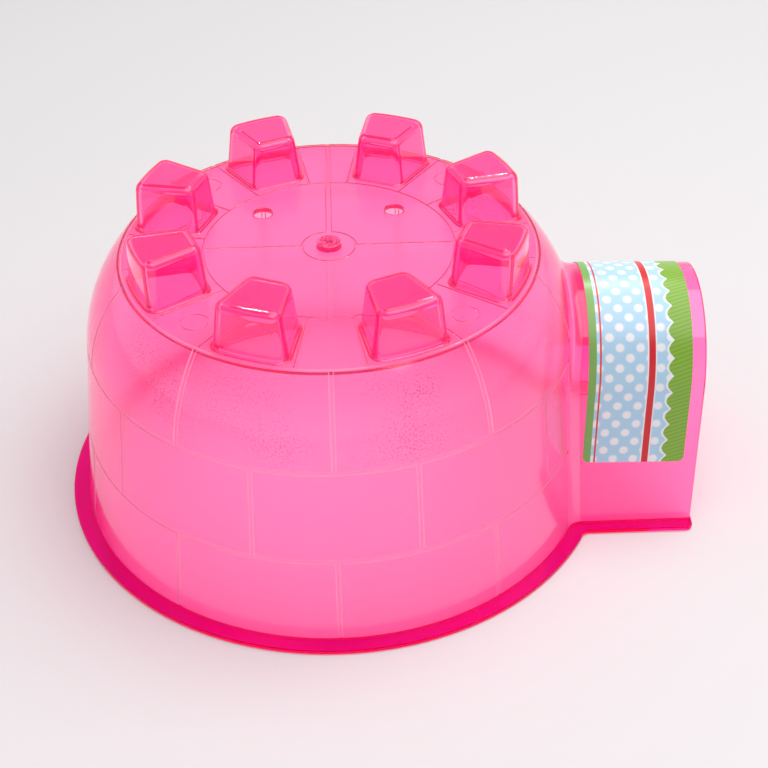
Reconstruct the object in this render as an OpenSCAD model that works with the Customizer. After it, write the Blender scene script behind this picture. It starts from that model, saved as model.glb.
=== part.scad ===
// Rodent igloo: a clear moulded hide with a block-topped dome, an arched
// entrance tunnel and a printed label wrapped over the tunnel.
// The dome stands on its foot rim at z = 0 and the tunnel points along +X.

/* [Foot rim] */
// outer radius of the rim round the dome
rim_r = 110; // [108:0.5:114]
// how far the rim stands out from the foot of the wall
rim_w = 6.4; // [5.5:0.1:8]
// how far the rim stands out beside the tunnel
rim_side_w = 5.5; // [4:0.1:8]
// thickness of the rim
rim_t = 2; // [1.6:0.1:2.6]
// corner radius of the rim at the tunnel mouth
rim_corner_r = 3; // [1:0.5:5]
// how far the rim reaches past the foot of the mouth
rim_lead = 0.4; // [0:0.1:1]
// radius where the straight rim runs into the round one
rim_crook_r = 4; // [2:0.5:8]

/* [Dome] */
// thickness of the moulded wall everywhere
wall_t = 2; // [1.6:0.1:2.4]
// how far the straight wall leans in up to the shoulder
wall_in = 7.8; // [6:0.1:10]
// how far the rounded shoulder comes in to the flat roof
shoulder_in = 15.2; // [13:0.1:18]
// height of the rounded shoulder
shoulder_h = 32.8; // [29:0.1:36]
// height of the flat roof
roof_z = 108; // [105:0.5:111]

/* [Stone pattern] */
// stones in each ring of the wall
stones = 10; // [8:1:12]
// height of the joint above the lowest ring of stones
joint_z = 36.9; // [34:0.1:40]
// radius of the rounded cutter that makes the wall joints
joint_r = 2.2; // [1.6:0.1:3]
// depth of the level wall joints
joint_d = 0.25; // [0.2:0.05:0.5]
// how much shallower the upright joints are, so that they end inside the level ones
joint_step = 0.04; // [0.03:0.01:0.1]
// depth of the fine lines on the roof
line_d = 0.25; // [0.2:0.05:0.5]

/* [Roof blocks] */
// number of hollow blocks round the roof
blocks = 8; // [6:1:8]
// height of a block above the roof
block_h = 19; // [16:0.5:22]
// width of the flat ledge outside the blocks
block_ledge = 3.6; // [3.4:0.1:6]
// length of a block from its inner to its outer face
block_len = 25.5; // [23:0.1:26]
// half width of a block at its inner face
block_in_w = 10.2; // [8:0.2:10.4]
// how much wider each side of a block gets towards its outer face
block_spread = 5.2; // [4:0.1:5.4]
// plan radius of the block corners
block_corner_r = 4; // [3:0.5:5]
// edge radius round the top of a block
block_edge_r = 3; // [2.4:0.1:3.4]
// how far the inner face of a block comes in up to its top
block_in_lean = 1.1; // [0.5:0.1:2]
// how far the outer face of a block comes in up to its top
block_out_lean = 0.6; // [0.3:0.1:2]
// how far each side of a block comes in up to its top
block_side_lean = 2.4; // [1.5:0.1:3.5]
// angle from a block's middle to the line beside it
block_line_a = 13.3; // [12.6:0.1:14]

/* [Roof middle] */
// gap between the blocks and the ring line inside them
ring_gap = 3.4; // [2.5:0.1:5]
// radius of the small ring line round the moulding gate
eye_r = 10.3; // [9:0.1:12]
// width of the four straight bands of the cross
cross_w = 2.3; // [1.5:0.1:3]
// radius of the moulding gate stub
gate_r = 4.8; // [4:0.1:6]
// height of the moulding gate stub
gate_h = 2.3; // [1.5:0.1:3]
// radius of an air hole
vent_r = 3.7; // [3:0.1:4.5]
// distance of the air holes in from the ring line
vent_in = 11.4; // [8:0.1:14]
// radius of the pin marks left by the mould
mark_r = 5; // [4:0.5:5]
// distance of the pin marks in from the roof's edge
mark_in = 12.1; // [10:0.1:14]

/* [Tunnel] */
// how far the crown of the mouth reaches past the round rim
tunnel_out = 33.6; // [30:0.1:38]
// outer radius of the arch
arch_r = 35.65; // [34:0.05:37]
// height from the crown of the mouth up to the roof
crown_drop = 18.7; // [16:0.1:22]
// how much wider each side of the tunnel is at the floor than its arch
arch_spread = 8.25; // [6:0.05:9]
// slope of the tunnel roof down to its mouth
pitch = 1.4; // [0.5:0.1:2]
// radius of the hollow where the tunnel meets the dome
root_r = 6; // [4:0.5:7]

/* [Label] */
// distance of the label from the tunnel mouth
label_inset = 5.5; // [4:0.1:6]
// distance of the label from the hollow at the tunnel's root
label_root = 1.7; // [1:0.1:6]
// height of the label's lower edges
label_z = 28.5; // [24:0.5:34]
// corner radius of the label
label_corner_r = 2.5; // [1:0.5:4]
// thickness of the label
label_t = 0.3; // [0.2:0.05:0.5]
// gap between the label and the wall
label_gap = 0.02; // [0.01:0.01:0.05]

/* [Hidden] */
pink = "#f9458f";
paper = "#dfeef7";
// radii of the dome's outside at the floor, where the straight wall ends, and at the flat roof
foot_r = rim_r - rim_w;
shoulder_r = foot_r - wall_in;
shoulder_z = roof_z - shoulder_h;
roof_r = shoulder_r - shoulder_in;
// radii of a block's faces at its foot, and of the ring line, holes and marks
block_out_r = roof_r - block_ledge;
block_in_r = block_out_r - block_len;
block_out_w = block_in_w + block_spread;
disc_r = block_in_r - ring_gap;
vent_place_r = disc_r - vent_in;
mark_place_r = roof_r - mark_in;
// tunnel: its reach from the dome's middle, the arch's centre and the half width at the floor
reach = rim_r + tunnel_out;
arch_z = roof_z - crown_drop - arch_r;
arch_foot = arch_r + arch_spread;
rim_side = arch_foot + rim_side_w;
// slope of the straight wall, and the arc that carries it on to the roof
draft = atan2(foot_r - shoulder_r, shoulder_z);
arc_dx = roof_r - shoulder_r;
arc_dz = roof_z - shoulder_z;
arc_r = -(arc_dx * arc_dx + arc_dz * arc_dz) / (2 * (arc_dx * cos(draft) + arc_dz * sin(draft)));
arc_x = shoulder_r - arc_r * cos(draft);
arc_z = shoulder_z - arc_r * sin(draft);
arc_end = atan2(roof_z - arc_z, roof_r - arc_x);
// the wall runs on below the floor in the cutters
below = 8;
// cutters reach past the faces that they cut
past = 1;
// tunnel frame: its origin is the foot of the mouth, and it is pitched down
arch_top = arch_z + arch_r;
mouth_x = reach - arch_top * sin(pitch);
arch_lean = acos(arch_r / norm([arch_foot, arch_z])) - atan2(arch_z, arch_foot);
// the dome and the tunnel walls meet at about this angle
root_a = 68;
// local place of the last plane of the root hollow
wall_at_crown = arc_x + sqrt(arc_r * arc_r - pow(arch_top - arc_z, 2));
root_x = wall_at_crown - reach + root_r * tan(root_a / 2);
label_len = -root_x - label_root - label_inset;
// rounded hollows are set this far into the faces that they run into
tuck = 0.03;
// blocks: angle between neighbours, and steps along their rounded faces, corners and edges
block_pitch = 360 / blocks;
face_steps = 2;
corner_steps = 4;
edge_steps = 3;
flare_steps = 2;
flare_r = 1.5;
// widths of fine lines
line_w = 1;
roof_joint_r = 1.1;
// centre lines x shift that puts the whole part over its origin
dome_x = (rim_r - reach) / 2;
// number of stones hidden behind the tunnel on the two lower rings
tunnel_a = asin(arch_foot / foot_r) + 3;

// half outline of the dome, moved in by inset, and reaching down to low
module dome_half(inset, low) {
    side_r = foot_r - inset / cos(draft);
    top_r = shoulder_r - inset * cos(draft);
    top_z = shoulder_z - inset * sin(draft);
    polygon([[0, low], [side_r - low * tan(draft), low], [top_r, top_z], [0, top_z]]);
    inner_x = max(arc_x, 0);
    if (inner_x > 0) translate([0, top_z]) square([inner_x, roof_z - inset - top_z]);
    intersection() {
        translate([arc_x, arc_z]) circle(r = arc_r - inset, $fn = 200);
        translate([max(inner_x - past, 0), top_z]) square([arc_r + past, roof_z - inset - top_z]);
    }
}

module dome_form(inset, low) {
    rotate_extrude($fn = 180) dome_half(inset, low);
}

// ring cutter for a level joint at radius r and height z, pushed out along a normal at angle a
module level_joint(r, z, a) {
    out = joint_r - joint_d;
    rotate_extrude($fn = 180)
        translate([r + out * cos(a), z + out * sin(a)]) circle(r = joint_r, $fn = 24);
}

// straight cutter up the sloping wall between two heights
module wall_joint(z0, z1) {
    out = (joint_r - joint_d + joint_step) / cos(draft);
    translate([foot_r + out, 0, 0]) rotate([0, -draft, 0])
        translate([0, 0, z0 / cos(draft)]) cylinder(r = joint_r, h = (z1 - z0) / cos(draft), $fn = 24);
}

// curved cutter over the shoulder
module shoulder_joint() {
    translate([arc_x, 0, arc_z]) rotate([90, 0, 0]) rotate([0, 0, draft])
        rotate_extrude(angle = arc_end - draft + past, $fn = 180)
            translate([arc_r + joint_r - joint_d + joint_step, 0]) circle(r = joint_r, $fn = 24);
}

module stone_joints() {
    level_joint(foot_r - joint_z * tan(draft), joint_z, draft);
    level_joint(shoulder_r, shoulder_z, draft);
    for (k = [0:stones - 1]) {
        a = (k + 0.5) * 360 / stones;
        b = k * 360 / stones;
        if (min(a, 360 - a) > tunnel_a) rotate([0, 0, a]) wall_joint(rim_t, joint_z);
        if (min(b, 360 - b) > tunnel_a) rotate([0, 0, b]) wall_joint(joint_z, shoulder_z);
        rotate([0, 0, a]) shoulder_joint();
    }
}

module ring_line(r, w) {
    translate([0, 0, roof_z - line_d]) rotate_extrude($fn = 120)
        translate([r - w / 2, 0]) square([w, line_d + past]);
}

module straight_line(r0, r1, w) {
    translate([r0, -w / 2, roof_z - line_d]) cube([r1 - r0, w, line_d + past]);
}

module roof_lines() {
    // joint round the edge of the roof
    rotate_extrude($fn = 180)
        translate([roof_r - roof_joint_r, roof_z + roof_joint_r - joint_d])
            circle(r = roof_joint_r, $fn = 24);
    ring_line(disc_r, line_w);
    ring_line(eye_r, line_w);
    for (k = [0:3]) rotate([0, 0, k * 90]) straight_line(eye_r, disc_r, cross_w);
    for (k = [0:blocks - 1], side = [-1, 1])
        rotate([0, 0, (k + 0.5) * block_pitch + side * block_line_a])
            straight_line(disc_r + line_w, roof_r - 2 * roof_joint_r, line_w);
    for (k = [0:3]) rotate([0, 0, 45 + k * 90]) translate([mark_place_r, 0, 0])
        ring_line(mark_r, line_w / 2);
}

// a block at height z: distance of its inner and outer face from the dome's middle, slope of its
// sides in plan, and how far the sides have come in from the foot
function block_u0(z) = block_in_r + z * block_in_lean / block_h;
function block_u1(z) = block_out_r - z * block_out_lean / block_h;
block_side_a = atan2(block_spread, block_len);
block_side_in = block_side_lean - block_out_lean * tan(block_side_a);

// points of an arc of radius r round [x, y] from angle a0 to a1
function arc_points(x, y, r, a0, a1, n) =
    [for (k = [0:n]) let (a = a0 + (a1 - a0) * k / n) [x + r * cos(a), y + r * sin(a)]];

function mirrored(points) = [for (k = [len(points) - 1:-1:0]) [points[k].x, -points[k].y]];

// plan of a block at height z, moved in by inset: a wedge with rounded corners whose outer face
// follows a circle round the dome's middle
function block_plan(z, inset) =
    let (
        s = block_side_a,
        u0 = block_u0(z) + inset,
        u1 = block_u1(z) - inset,
        r = block_corner_r - inset,
        // distance of the side line from the dome's middle
        side = (block_out_w - block_out_r * tan(s) - block_side_in * z / block_h) * cos(s) - inset,
        turn = s + asin((side - r) / (u1 - r)),
        face = arc_points(0, 0, u1, 0, turn, face_steps),
        outer = arc_points((u1 - r) * cos(turn), (u1 - r) * sin(turn), r, turn, 90 + s, corner_steps),
        inner = arc_points(u0 + r, (side - r) / cos(s) + (u0 + r) * tan(s), r, 90 + s, 180, corner_steps),
        half = concat([for (k = [1:face_steps - 1]) face[k]], outer, inner)
    )
    concat([[u1, 0]], half, mirrored(half));

// solid through plans of equal point counts, each one at its own height
module stack_plans(plans, heights) {
    n = len(plans[0]);
    top = len(plans) - 1;
    points = [for (k = [0:top], p = plans[k]) [p.x, p.y, heights[k]]];
    sides = [for (k = [0:top - 1], i = [0:n - 1], half = [0, 1])
        let (a = k * n + i, b = k * n + (i + 1) % n)
        half == 0 ? [a, a + n, b] : [b, a + n, b + n]];
    polyhedron(points, concat([[for (i = [0:n - 1]) i]], sides, [[for (i = [n - 1:-1:0]) top * n + i]]));
}

// block with straight drafted sides, a flare into the roof and a rounded top edge
module block_outside() {
    flare = [for (k = [0:flare_steps - 1]) 90 * k / flare_steps];
    edge = [for (k = [0:edge_steps]) 90 * k / edge_steps];
    side_top = block_h - block_edge_r;
    heights = concat([-wall_t / 2], [for (a = flare) flare_r * (1 - cos(a)) - 2 * tuck], [flare_r],
        [for (a = edge) side_top + block_edge_r * sin(a)]);
    insets = concat([-flare_r], [for (a = flare) flare_r * (sin(a) - 1)], [0],
        [for (a = edge) block_edge_r * (1 - cos(a))]);
    stack_plans([for (k = [0:len(heights) - 1]) block_plan(heights[k], insets[k])], heights);
}

// hollow of a block, open to the nest below
module block_inside() {
    heights = [-wall_t - past, block_h - wall_t];
    stack_plans([for (z = heights) block_plan(z, wall_t)], heights);
}

module each_block() {
    for (k = [0:blocks - 1]) rotate([0, 0, (k + 0.5) * block_pitch]) translate([0, 0, roof_z]) children();
}

// section of the tunnel, moved out by grow: straight sides that run into the arch
module arch_section(grow) {
    r = arch_r + grow;
    foot = arch_foot + grow / cos(arch_lean) + below * tan(arch_lean);
    translate([0, arch_z]) circle(r = r, $fn = 180);
    polygon([
        [-foot, -below], [foot, -below],
        [r * cos(arch_lean), arch_z + r * sin(arch_lean)],
        [-r * cos(arch_lean), arch_z + r * sin(arch_lean)]
    ]);
}

// places its children in the tunnel's own frame: x = 0 at the mouth, pitched down
module in_tunnel() {
    translate([mouth_x, 0, 0]) rotate([0, pitch, 0]) children();
}

module arch_prism(grow, x0, x1) {
    translate([x0, 0, 0]) rotate([90, 0, 90]) linear_extrude(height = x1 - x0) arch_section(grow);
}

// section of the hollow at the tunnel's root: out from the arch's centre, and along the tunnel
module root_section(r, inner) {
    near = arch_r - inner;
    middle = arch_r + root_r - tuck;
    difference() {
        polygon([
            [near - past / 2, root_x], [middle, root_x],
            [middle - r * cos(root_a), root_x - r * sin(root_a)],
            [near - past / 2, root_x - r * sin(root_a) - past]
        ]);
        translate([middle, root_x]) circle(r = r, $fn = 96);
    }
}

// the hollow swept over the crown and down both sides
module root_fillet(r, inner) {
    translate([0, 0, arch_z]) {
        rotate([0, 90, 0]) rotate([0, 0, 90 + arch_lean])
            rotate_extrude(angle = 180 - 2 * arch_lean, $fn = 180) root_section(r, inner);
        for (side = [0, 1])
            mirror([0, side, 0]) rotate([arch_lean, 0, 0]) rotate(a = 180, v = [1, 1, 0])
                linear_extrude(height = arch_z + below) root_section(r, inner);
    }
}

// outline of the rim with its straight sides along the tunnel
module rim_plan() {
    far = mouth_x + rim_lead;
    crook_out = rim_crook_r - tuck;
    crook_x = sqrt(pow(rim_r + crook_out, 2) - pow(rim_side + crook_out, 2));
    on_rim = rim_r / (rim_r + crook_out);
    circle(r = rim_r, $fn = 240);
    translate([0, -rim_side]) square([far - rim_corner_r, 2 * rim_side]);
    translate([far - rim_corner_r - past, rim_corner_r - rim_side])
        square([rim_corner_r + past, 2 * (rim_side - rim_corner_r)]);
    for (side = [-1, 1]) {
        translate([far - rim_corner_r, side * (rim_side - rim_corner_r)]) circle(r = rim_corner_r, $fn = 48);
        difference() {
            polygon([
                [crook_x * on_rim - past, side * (rim_side - past)],
                [crook_x * on_rim, side * (rim_side + crook_out) * on_rim],
                [crook_x, side * (rim_side + crook_out)],
                [crook_x, side * (rim_side - past)]
            ]);
            translate([crook_x, side * (rim_side + crook_out)]) circle(r = rim_crook_r, $fn = 64);
        }
    }
}

module above_floor() {
    intersection() {
        children();
        translate([-2 * reach, -2 * reach, 0]) cube([4 * reach, 4 * reach, 2 * reach]);
    }
}

module igloo_shell() {
    color(pink, 0.8) translate([dome_x, 0, 0]) difference() {
        union() {
            difference() {
                dome_form(0, 0);
                stone_joints();
                roof_lines();
            }
            linear_extrude(height = rim_t) rim_plan();
            above_floor() in_tunnel() {
                arch_prism(0, -reach * 0.6, 0);
                root_fillet(root_r, 0);
            }
            each_block() block_outside();
            translate([0, 0, roof_z - past]) cylinder(r = gate_r, h = gate_h + past, $fn = 48);
        }
        dome_form(wall_t, -below);
        in_tunnel() {
            arch_prism(-wall_t, -reach * 0.6, below);
            root_fillet(root_r + wall_t, wall_t);
        }
        each_block() block_inside();
        for (side = [-1, 1]) rotate([0, 0, 90 + side * 45]) translate([vent_place_r, 0, roof_z - wall_t - past])
            cylinder(r = vent_r, h = wall_t + 2 * past, $fn = 48);
    }
}

// outline of the unrolled label seen from the side, open at the top
module label_window() {
    high = 2 * arch_top;
    translate([0, label_z + label_corner_r]) square([label_len, high]);
    translate([label_corner_r, label_z]) square([label_len - 2 * label_corner_r, high]);
    for (x = [label_corner_r, label_len - label_corner_r])
        translate([x, label_z + label_corner_r]) circle(r = label_corner_r, $fn = 32);
}

module entry_label() {
    color(paper) translate([dome_x, 0, 0]) in_tunnel() intersection() {
        difference() {
            arch_prism(label_gap + label_t, -label_inset - label_len - past, -label_inset + past);
            arch_prism(label_gap, -label_inset - label_len - 2 * past, -label_inset + 2 * past);
        }
        translate([-label_inset - label_len, arch_foot * 2, 0]) rotate([90, 0, 0])
            linear_extrude(height = arch_foot * 4) label_window();
    }
}

igloo_shell();
entry_label();
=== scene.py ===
# %% [markdown]
# # A clear pink rodent igloo
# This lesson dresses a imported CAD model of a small-pet hide: one moulded shell
# with a block-topped dome and an arched tunnel, and one printed label wrapped
# over the tunnel. The CAD model is the frame: nothing here moves or resizes it.

# %% Load the frame
import math
import random
from collections import Counter

import bpy
import numpy as np
from mathutils import Matrix, Vector


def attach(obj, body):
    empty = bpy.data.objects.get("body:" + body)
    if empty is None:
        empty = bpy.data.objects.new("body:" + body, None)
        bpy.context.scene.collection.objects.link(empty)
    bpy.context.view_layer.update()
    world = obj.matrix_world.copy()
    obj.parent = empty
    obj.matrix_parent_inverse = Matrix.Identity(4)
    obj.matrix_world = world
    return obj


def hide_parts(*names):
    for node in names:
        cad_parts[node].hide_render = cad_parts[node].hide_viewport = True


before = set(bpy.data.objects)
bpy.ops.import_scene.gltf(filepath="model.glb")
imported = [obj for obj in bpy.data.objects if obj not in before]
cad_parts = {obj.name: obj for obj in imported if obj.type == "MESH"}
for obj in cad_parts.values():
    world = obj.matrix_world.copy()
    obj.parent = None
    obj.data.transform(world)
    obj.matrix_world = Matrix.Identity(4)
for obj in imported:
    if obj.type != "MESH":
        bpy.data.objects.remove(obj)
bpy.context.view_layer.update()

# %% [markdown]
# ## Sizes
# The same named sizes as in the part's source, in millimetres, with the middle
# of the dome at x = 0. Every shape is made in millimetres and brought to metres
# once, at its end, so a reader can hold each number against a real ruler.

# %% Sizes of the moulding
MM = 0.001
RIM_R, RIM_T, RIM_SIDE, RIM_CORNER_R, RIM_LEAD, RIM_CROOK_R = 110.0, 2.0, 49.4, 3.0, 0.4, 4.0
WALL_T, FOOT_R, SHOULDER_R, SHOULDER_Z, ROOF_R, ROOF_Z = 2.0, 103.6, 95.8, 75.2, 80.6, 108.0
STONES, JOINT_Z, JOINT_R, JOINT_D, JOINT_STEP = 10, 36.9, 2.2, 0.25, 0.04
BLOCKS, BLOCK_H, BLOCK_IN_R, BLOCK_OUT_R, BLOCK_IN_W, BLOCK_OUT_W = 8, 19.0, 51.5, 77.0, 10.2, 15.4
BANDS = 4
BLOCK_CORNER_R, BLOCK_EDGE_R, BLOCK_FLARE_R = 4.0, 3.0, 1.5
BLOCK_TOP_IN_R, BLOCK_TOP_OUT_R, BLOCK_TOP_W, BLOCK_LINE_A = 52.6, 76.4, 13.0, 13.3
DISC_R, EYE_R, CROSS_W, GATE_R, GATE_H = 48.1, 10.3, 2.3, 4.8, 2.3
VENT_R, VENT_PLACE_R, MARK_R, MARK_PLACE_R = 3.7, 36.7, 5.0, 68.5
REACH, ARCH_R, ARCH_Z, ARCH_FOOT, PITCH, ROOT_R = 143.6, 35.65, 53.65, 43.9, math.radians(1.4), 6.0
LABEL_LEN, LABEL_INSET, LABEL_Z, LABEL_CORNER_R, LABEL_T, LABEL_GAP = 39.91, 5.5, 28.5, 2.5, 0.3, 0.02

DRAFT = math.atan2(FOOT_R - SHOULDER_R, SHOULDER_Z)
ARC_R = -((ROOF_R - SHOULDER_R) ** 2 + (ROOF_Z - SHOULDER_Z) ** 2) / (
    2 * ((ROOF_R - SHOULDER_R) * math.cos(DRAFT) + (ROOF_Z - SHOULDER_Z) * math.sin(DRAFT)))
ARC_X = SHOULDER_R - ARC_R * math.cos(DRAFT)
ARC_Z = SHOULDER_Z - ARC_R * math.sin(DRAFT)
ARC_END = math.atan2(ROOF_Z - ARC_Z, ROOF_R - ARC_X)
ARCH_TOP = ARCH_Z + ARCH_R
ARCH_LEAN = math.acos(ARCH_R / math.hypot(ARCH_FOOT, ARCH_Z)) - math.atan2(ARCH_Z, ARCH_FOOT)
MOUTH_X = REACH - ARCH_TOP * math.sin(PITCH)
DOME_X = (RIM_R - REACH) / 2
TUCK = 0.03
BELOW = 8.0
print(f"draft {math.degrees(DRAFT):.2f} deg, shoulder arc radius {ARC_R:.1f} mm, "
      f"tunnel sides lean {math.degrees(ARCH_LEAN):.2f} deg")

# %% [markdown]
# ## One solid at a time
# A moulding like this is easiest to build as the toolmaker thinks of it: a few
# simple closed solids that are added to and cut from each other. Each solid is
# a stack of rings. With every corner goes `soft`, the exact direction that the
# real surface faces there. Booleans keep it, so light runs smoothly over curved
# faces and every true edge stays crisp, however the cuts fall.

# %% The solid builder
TAU = 2 * math.pi
WALL, TORN, RIM, BLOCK, EDGE, TUNNEL = range(6)


def add_object(name, data):
    """A new object of the scene."""
    thing = bpy.data.objects.new(name, data)
    bpy.context.scene.collection.objects.link(thing)
    return thing


class Solid:
    """A closed stack of rings, with the exact surface direction at each face corner."""

    def __init__(self, rings, after, before, closed=False, skin=WALL):
        """rings: array (levels, count, 3), each ring anticlockwise about the way the stack grows.
        after and before: directions that faces above and below a ring see at it. skin: one kind of
        surface, or an array of them that fits (steps, count)."""
        rings, after, before = (np.asarray(a, float) for a in (rings, after, before))
        levels, count = rings.shape[:2]
        self.points, self.faces, self.soft, self.skin = rings.reshape(-1, 3), [], [], []
        steps = levels if closed else levels - 1
        skins = np.broadcast_to(skin, (steps, count)).tolist()
        for k in range(steps):
            up = (k + 1) % levels
            for i in range(count):
                j = (i + 1) % count
                self.faces.append([k * count + i, k * count + j, up * count + j, up * count + i])
                self.soft += [after[k, i], after[k, j], before[up, j], before[up, i]]
                self.skin.append(skins[k][i])
        if closed:
            return
        for level, side in ((0, -1), (levels - 1, 1)):
            area = side * np.cross(rings[level], np.roll(rings[level], -1, axis=0)).sum(0)
            self.faces.append([level * count + i for i in range(count)[::side]])
            self.soft += [area / np.linalg.norm(area)] * count
            self.skin.append(skins[level - 1 if level else 0][0])

    def mesh_object(self, name):
        """An object for the geometry tree to read, still in millimetres."""
        mesh = bpy.data.meshes.new(name)
        mesh.from_pydata(self.points.tolist(), [], self.faces)
        mesh.attributes.new("soft", "FLOAT_VECTOR", "CORNER").data.foreach_set(
            "vector", np.asarray(self.soft, float).ravel())
        mesh.attributes.new("skin", "INT", "FACE").data.foreach_set("value", self.skin)
        return add_object(name, mesh)


def turned(profile, directions, columns, skin=WALL, closed=False, centre=(0, 0)):
    """Profile points (r, z) turned about the upright axis through centre. directions holds, for each
    point, the pair of (r, z) directions seen from before and after it."""
    angle = np.linspace(0, TAU, columns, endpoint=False)
    around = np.stack([np.cos(angle), np.sin(angle), np.zeros(columns)], -1)
    up = np.array([0.0, 0.0, 1.0])
    profile, directions = np.asarray(profile, float), np.asarray(directions, float)
    rings = profile[:, None, :1] * around + profile[:, None, 1:] * up + np.array([*centre, 0.0])
    sees = directions[:, :, None, :1] * around + directions[:, :, None, 1:] * up
    return Solid(rings, sees[:, 1], sees[:, 0], closed, skin)


def swept(path, out_way, across_way, section, ways, skin=WALL):
    """A bar along path. Its section is given as (across, out) points with their directions."""
    path, out_way, across_way = (np.asarray(v, float)[:, None] for v in (path, out_way, across_way))
    across, out = (np.asarray(section, float)[None, :, k:k + 1] for k in (0, 1))
    d_across, d_out = (np.asarray(ways, float)[None, :, k:k + 1] for k in (0, 1))
    sees = d_across * across_way + d_out * out_way
    return Solid(path + across * across_way + out * out_way, sees, sees, skin=skin)


print("solid builder ready")


# %% Outlines, as lists of (point, direction) pairs
def arc_of(x, y, r, a0, a1, steps):
    """An arc from angle a0 to a1."""
    return [((x + r * math.cos(a), y + r * math.sin(a)), (math.cos(a), math.sin(a)))
            for a in np.linspace(a0, a1, steps + 1)]


def mirrored(half, flip=(1, -1)):
    """The other side of an outline, in reverse."""
    return [[(x * flip[0], y * flip[1]) for x, y in pair] for pair in reversed(half)]


def as_arrays(outline):
    """The points and the directions of an outline."""
    points, ways = zip(*outline)
    return np.array(points), np.array(ways)


print("outline helpers ready")

# %% [markdown]
# ## The dome
# The wall leans in by about six degrees so that it leaves its mould, then rolls
# over a large shoulder arc into the flat roof. One outline, turned about the
# middle, gives the outside; the same outline moved in by the wall thickness and
# carried on below the floor gives the cutter for the hollow.


# %% The dome, outside and inside
HUB_R, ARC_STEPS, COLUMNS = 1.0, 32, 360


def dome_outline(inset, low):
    """(r, z) points and their directions, from the foot up to a small hub in the middle of the roof."""
    foot_r = FOOT_R - inset / math.cos(DRAFT)
    radius = ARC_R - inset
    end = math.asin((ROOF_Z - inset - ARC_Z) / radius)
    arc, ways = as_arrays(arc_of(ARC_X, ARC_Z, radius, DRAFT, end, ARC_STEPS))
    points = [(foot_r - low * math.tan(DRAFT), low), *arc, (HUB_R, ROOF_Z - inset)]
    before, after = [ways[0], *ways, (0.0, 1.0)], [ways[0], *ways[:-1], (0.0, 1.0), (0.0, 1.0)]
    return points, np.stack([before, after], 1)


dome_outside = turned(*dome_outline(0.0, 0.0), COLUMNS)
dome_inside = turned(*dome_outline(WALL_T, -BELOW), COLUMNS)
print("dome columns:", COLUMNS)

# %% [markdown]
# ## Joints between the stones
# The stones are only drawn, by shallow flat-bottomed grooves. On the real igloo
# their two flanks are what shows: thin pale lines about two millimetres apart.
# So a groove's section is a flat bottom and two sloping flanks with softened
# corners. Level joints are rings. Upright joints are bars, one for each course,
# which the geometry tree repeats round the dome, half a stone further round on
# every second course.


# %% Section of a groove
SIDEWAYS = (-1, 1)


def groove_section(width, depth, flank, flank_skin=WALL, corner=0.1, steps=3, above=0.4):
    """A groove cutter's (across, out) corners and directions, anticlockwise from the left flank's foot.
    flank is how wide each sloping side is, seen square to the surface."""
    lean = math.atan2(depth, flank)
    foot = width / 2 - flank
    tangent = corner * math.tan(lean / 2)
    half = [((foot - tangent + corner * math.sin(a), -depth + corner * (1 - math.cos(a))),
             (math.sin(a), -math.cos(a))) for a in np.linspace(0, lean, steps)]
    half.append(((foot + flank * (1 + above / depth), above), half[-1][1]))
    points, sees = as_arrays(mirrored(half[:1], SIDEWAYS) + half + mirrored(half[1:], SIDEWAYS))
    # faces: bottom, rounded corner, flank, lid above the surface, flank, rounded corner
    skins = [WALL] * steps + [flank_skin, WALL, flank_skin] + [WALL] * (steps - 1)
    return points, sees, np.array(skins)


def ring_groove(r, z, lean, section, columns=COLUMNS):
    """A groove cutter bent into a ring, on a surface that faces lean above the level."""
    points, ways, skins = section
    out = np.array([math.cos(lean), math.sin(lean)])
    across = np.array([math.sin(lean), -math.cos(lean)])
    profile = np.array([r, z]) + points[:, :1] * across + points[:, 1:] * out
    sees = ways[:, :1] * across + ways[:, 1:] * out
    return turned(profile, np.stack([sees, sees], 1), columns, skins[:, None], closed=True)


JOINT_W, JOINT_FLANK = 2 * math.sqrt(JOINT_D * (2 * JOINT_R - JOINT_D)), 0.45
# the flanks take the edge plastic, whose pale colour is a painted highlight
joint_section = groove_section(JOINT_W, JOINT_D, JOINT_FLANK, EDGE)
step_section = groove_section(JOINT_W, JOINT_D - JOINT_STEP, JOINT_FLANK, EDGE)
print("joint width:", round(JOINT_W, 2), "mm")


# %% Cutters for the joints
def upright_groove(z0, z1):
    """Straight up the sloping wall at y = 0."""
    side = (math.cos(DRAFT), 0, math.sin(DRAFT))
    path = [(FOOT_R - z * math.tan(DRAFT), 0, z) for z in (z0, z1)]
    return swept(path, [side] * 2, [(0, -1, 0)] * 2, *step_section)


level_joints = [ring_groove(FOOT_R - z * math.tan(DRAFT), z, DRAFT, joint_section)
                for z in (JOINT_Z, SHOULDER_Z)]
ROOF_JOINT_R, ROOF_JOINT_W, ROOF_JOINT_D, ROOF_JOINT_FLANK = 1.1, 0.8, 0.12, 0.3
# the roof edge's flanks also take the edge plastic: painted highlight lines
roof_edge = groove_section(ROOF_JOINT_W, ROOF_JOINT_D, ROOF_JOINT_FLANK, EDGE)
level_joints.append(ring_groove(ROOF_R - ROOF_JOINT_R, ROOF_Z, math.pi / 2, roof_edge))
low_joint = upright_groove(RIM_T, JOINT_Z)
high_joint = upright_groove(JOINT_Z, SHOULDER_Z)
# bent over the shoulder at y = 0, and a little past its end
BEND_STEPS, BEND_PAST = 40, 0.02
angles = np.linspace(DRAFT, ARC_END + BEND_PAST, BEND_STEPS)
side = np.stack([np.cos(angles), 0 * angles, np.sin(angles)], -1)
bend = np.array([ARC_X, 0, ARC_Z]) + ARC_R * side
shoulder_joint = swept(bend, side, [(0, -1, 0)] * BEND_STEPS, *step_section)
print("joints:", len(level_joints), "level rings and", 3 * STONES, "upright bars")

# %% [markdown]
# ## Fine lines on the roof
# Rings, straight lines beside the blocks, a cross of shallow bands and the round
# marks of the mould's pins. The lines are finer than the stone joints: about a
# millimetre wide and a quarter of that deep.

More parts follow.
